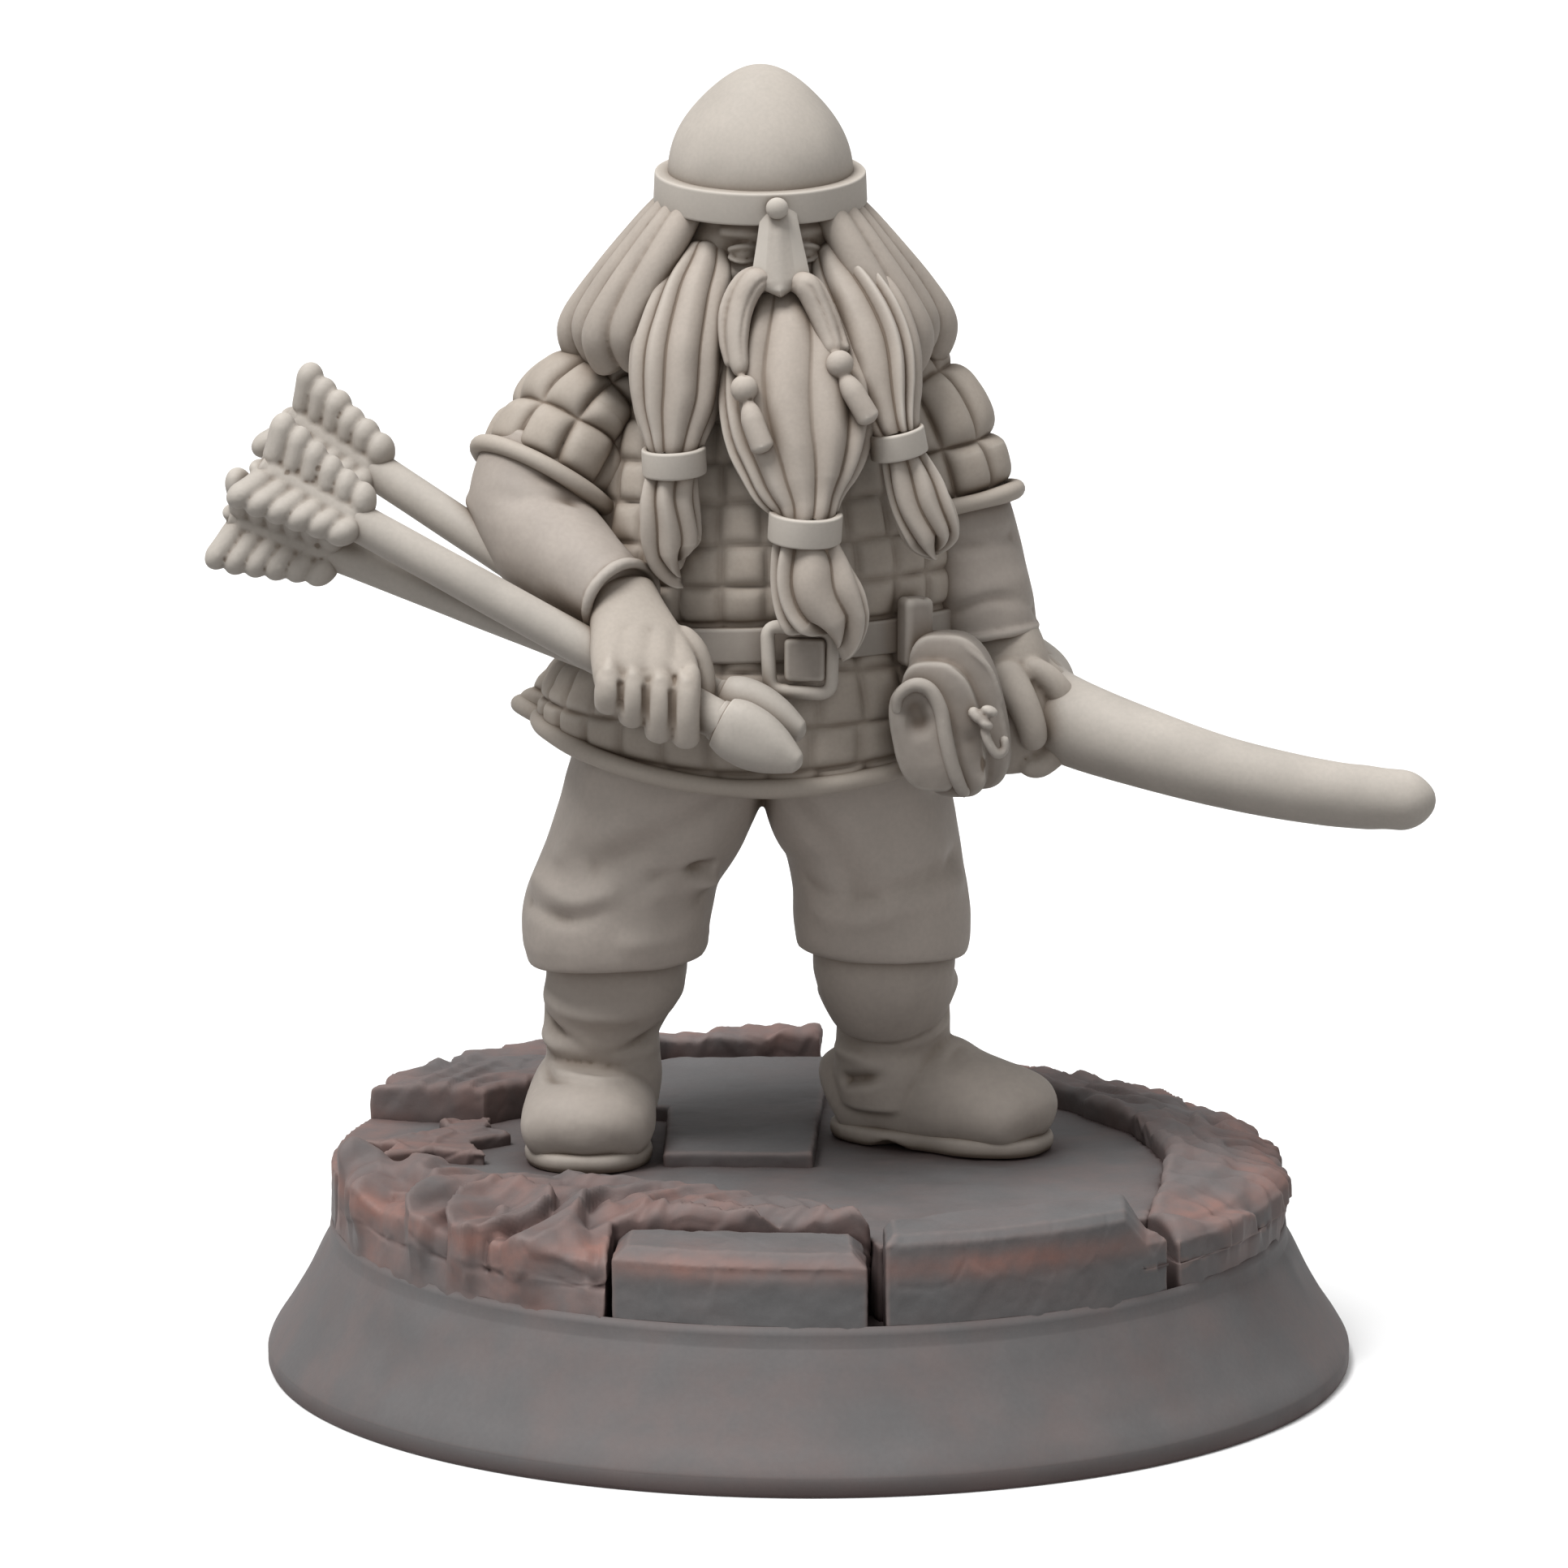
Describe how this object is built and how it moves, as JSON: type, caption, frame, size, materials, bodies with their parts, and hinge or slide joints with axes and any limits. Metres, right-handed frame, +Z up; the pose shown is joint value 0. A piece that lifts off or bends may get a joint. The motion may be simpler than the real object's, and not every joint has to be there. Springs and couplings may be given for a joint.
{
  "type": "miniature figure",
  "caption": "Matte resin miniature of a stout, long-bearded archer in a quilted coat and nasal helmet, with a bow and arrows, on a round base of broken paving.",
  "frame": {"origin": "centre of the round base, on its underside", "axes": "+Z up to the helmet's point, -Y the way the figure faces, +X to the figure's left, where the bow reaches out"},
  "size_m": [0.0275, 0.025, 0.0299],
  "materials": {
    "helmet": "matte cast resin with a dark wash in the recesses",
    "skin": "matte cast resin with a dark wash in the recesses",
    "beard_and_hair": "matte cast resin with a dark wash in the recesses",
    "beard_rings": "matte cast resin with a dark wash in the recesses",
    "quilted_coat": "matte cast resin with a dark wash in the recesses",
    "undersleeves": "matte cast resin with a dark wash in the recesses",
    "trousers": "matte cast resin with a dark wash in the recesses",
    "leatherwork": "matte cast resin with a dark wash in the recesses",
    "buckle": "matte cast resin with a dark wash in the recesses",
    "boots": "matte cast resin with a dark wash in the recesses",
    "boot_soles": "matte cast resin with a dark wash in the recesses",
    "bow_stave": "matte cast resin with a dark wash in the recesses",
    "arrow_shafts": "matte cast resin with a dark wash in the recesses",
    "fletchings": "matte cast resin with a dark wash in the recesses",
    "arrow_heads": "matte cast resin with a dark wash in the recesses",
    "base_skirt": "matte grey-painted resin",
    "paving": "matte grey-painted resin",
    "rough_stone": "matte grey-painted resin with a dull red-brown tint on broken edges"
  },
  "bodies": {
    "root": {"helmet_dome": "helmet", "helmet_band": "helmet", "nasal_guard": "helmet", "nasal_rivet": "helmet", "head_core": "skin", "hand_right": "skin", "hand_left": "skin", "beard_centre": "beard_and_hair", "beard_right": "beard_and_hair", "beard_left": "beard_and_hair", "beard_tail_right": "beard_and_hair", "beard_tail_centre": "beard_and_hair", "beard_tail_left": "beard_and_hair", "moustache_right": "beard_and_hair", "moustache_left": "beard_and_hair", "hair_right": "beard_and_hair", "hair_left": "beard_and_hair", "beard_ring_right": "beard_rings", "beard_ring_centre": "beard_rings", "beard_ring_left": "beard_rings", "gambeson_torso": "quilted_coat", "hem_trim": "quilted_coat", "sleeve_right": "quilted_coat", "sleeve_left": "quilted_coat", "sleeve_hem_right": "quilted_coat", "sleeve_hem_left": "quilted_coat", "undersleeve_right": "undersleeves", "undersleeve_left": "undersleeves", "trousers": "trousers", "belt": "leatherwork", "belt_keeper": "leatherwork", "pouch_body": "leatherwork", "pouch_flap": "leatherwork", "pouch_tie": "leatherwork", "belt_buckle": "buckle", "buckle_prong": "buckle", "boot_right": "boots", "boot_left": "boots", "boot_sole_right": "boot_soles", "boot_sole_left": "boot_soles", "bow": "bow_stave", "arrow_shaft_front": "arrow_shafts", "arrow_shaft_lower": "arrow_shafts", "arrow_shaft_rear": "arrow_shafts", "arrow_fletching_front": "fletchings", "arrow_fletching_lower": "fletchings", "arrow_fletching_rear": "fletchings", "arrow_head_front": "arrow_heads", "arrow_head_lower": "arrow_heads", "base_skirt": "base_skirt", "stone_floor": "paving", "stone_plank": "paving", "stone_front_block": "paving", "stone_front_right": "paving", "stone_front_left": "rough_stone", "stone_right": "rough_stone", "stone_back_left": "rough_stone", "stone_back": "rough_stone", "stone_tile": "rough_stone"}
  },
  "joints": []
}
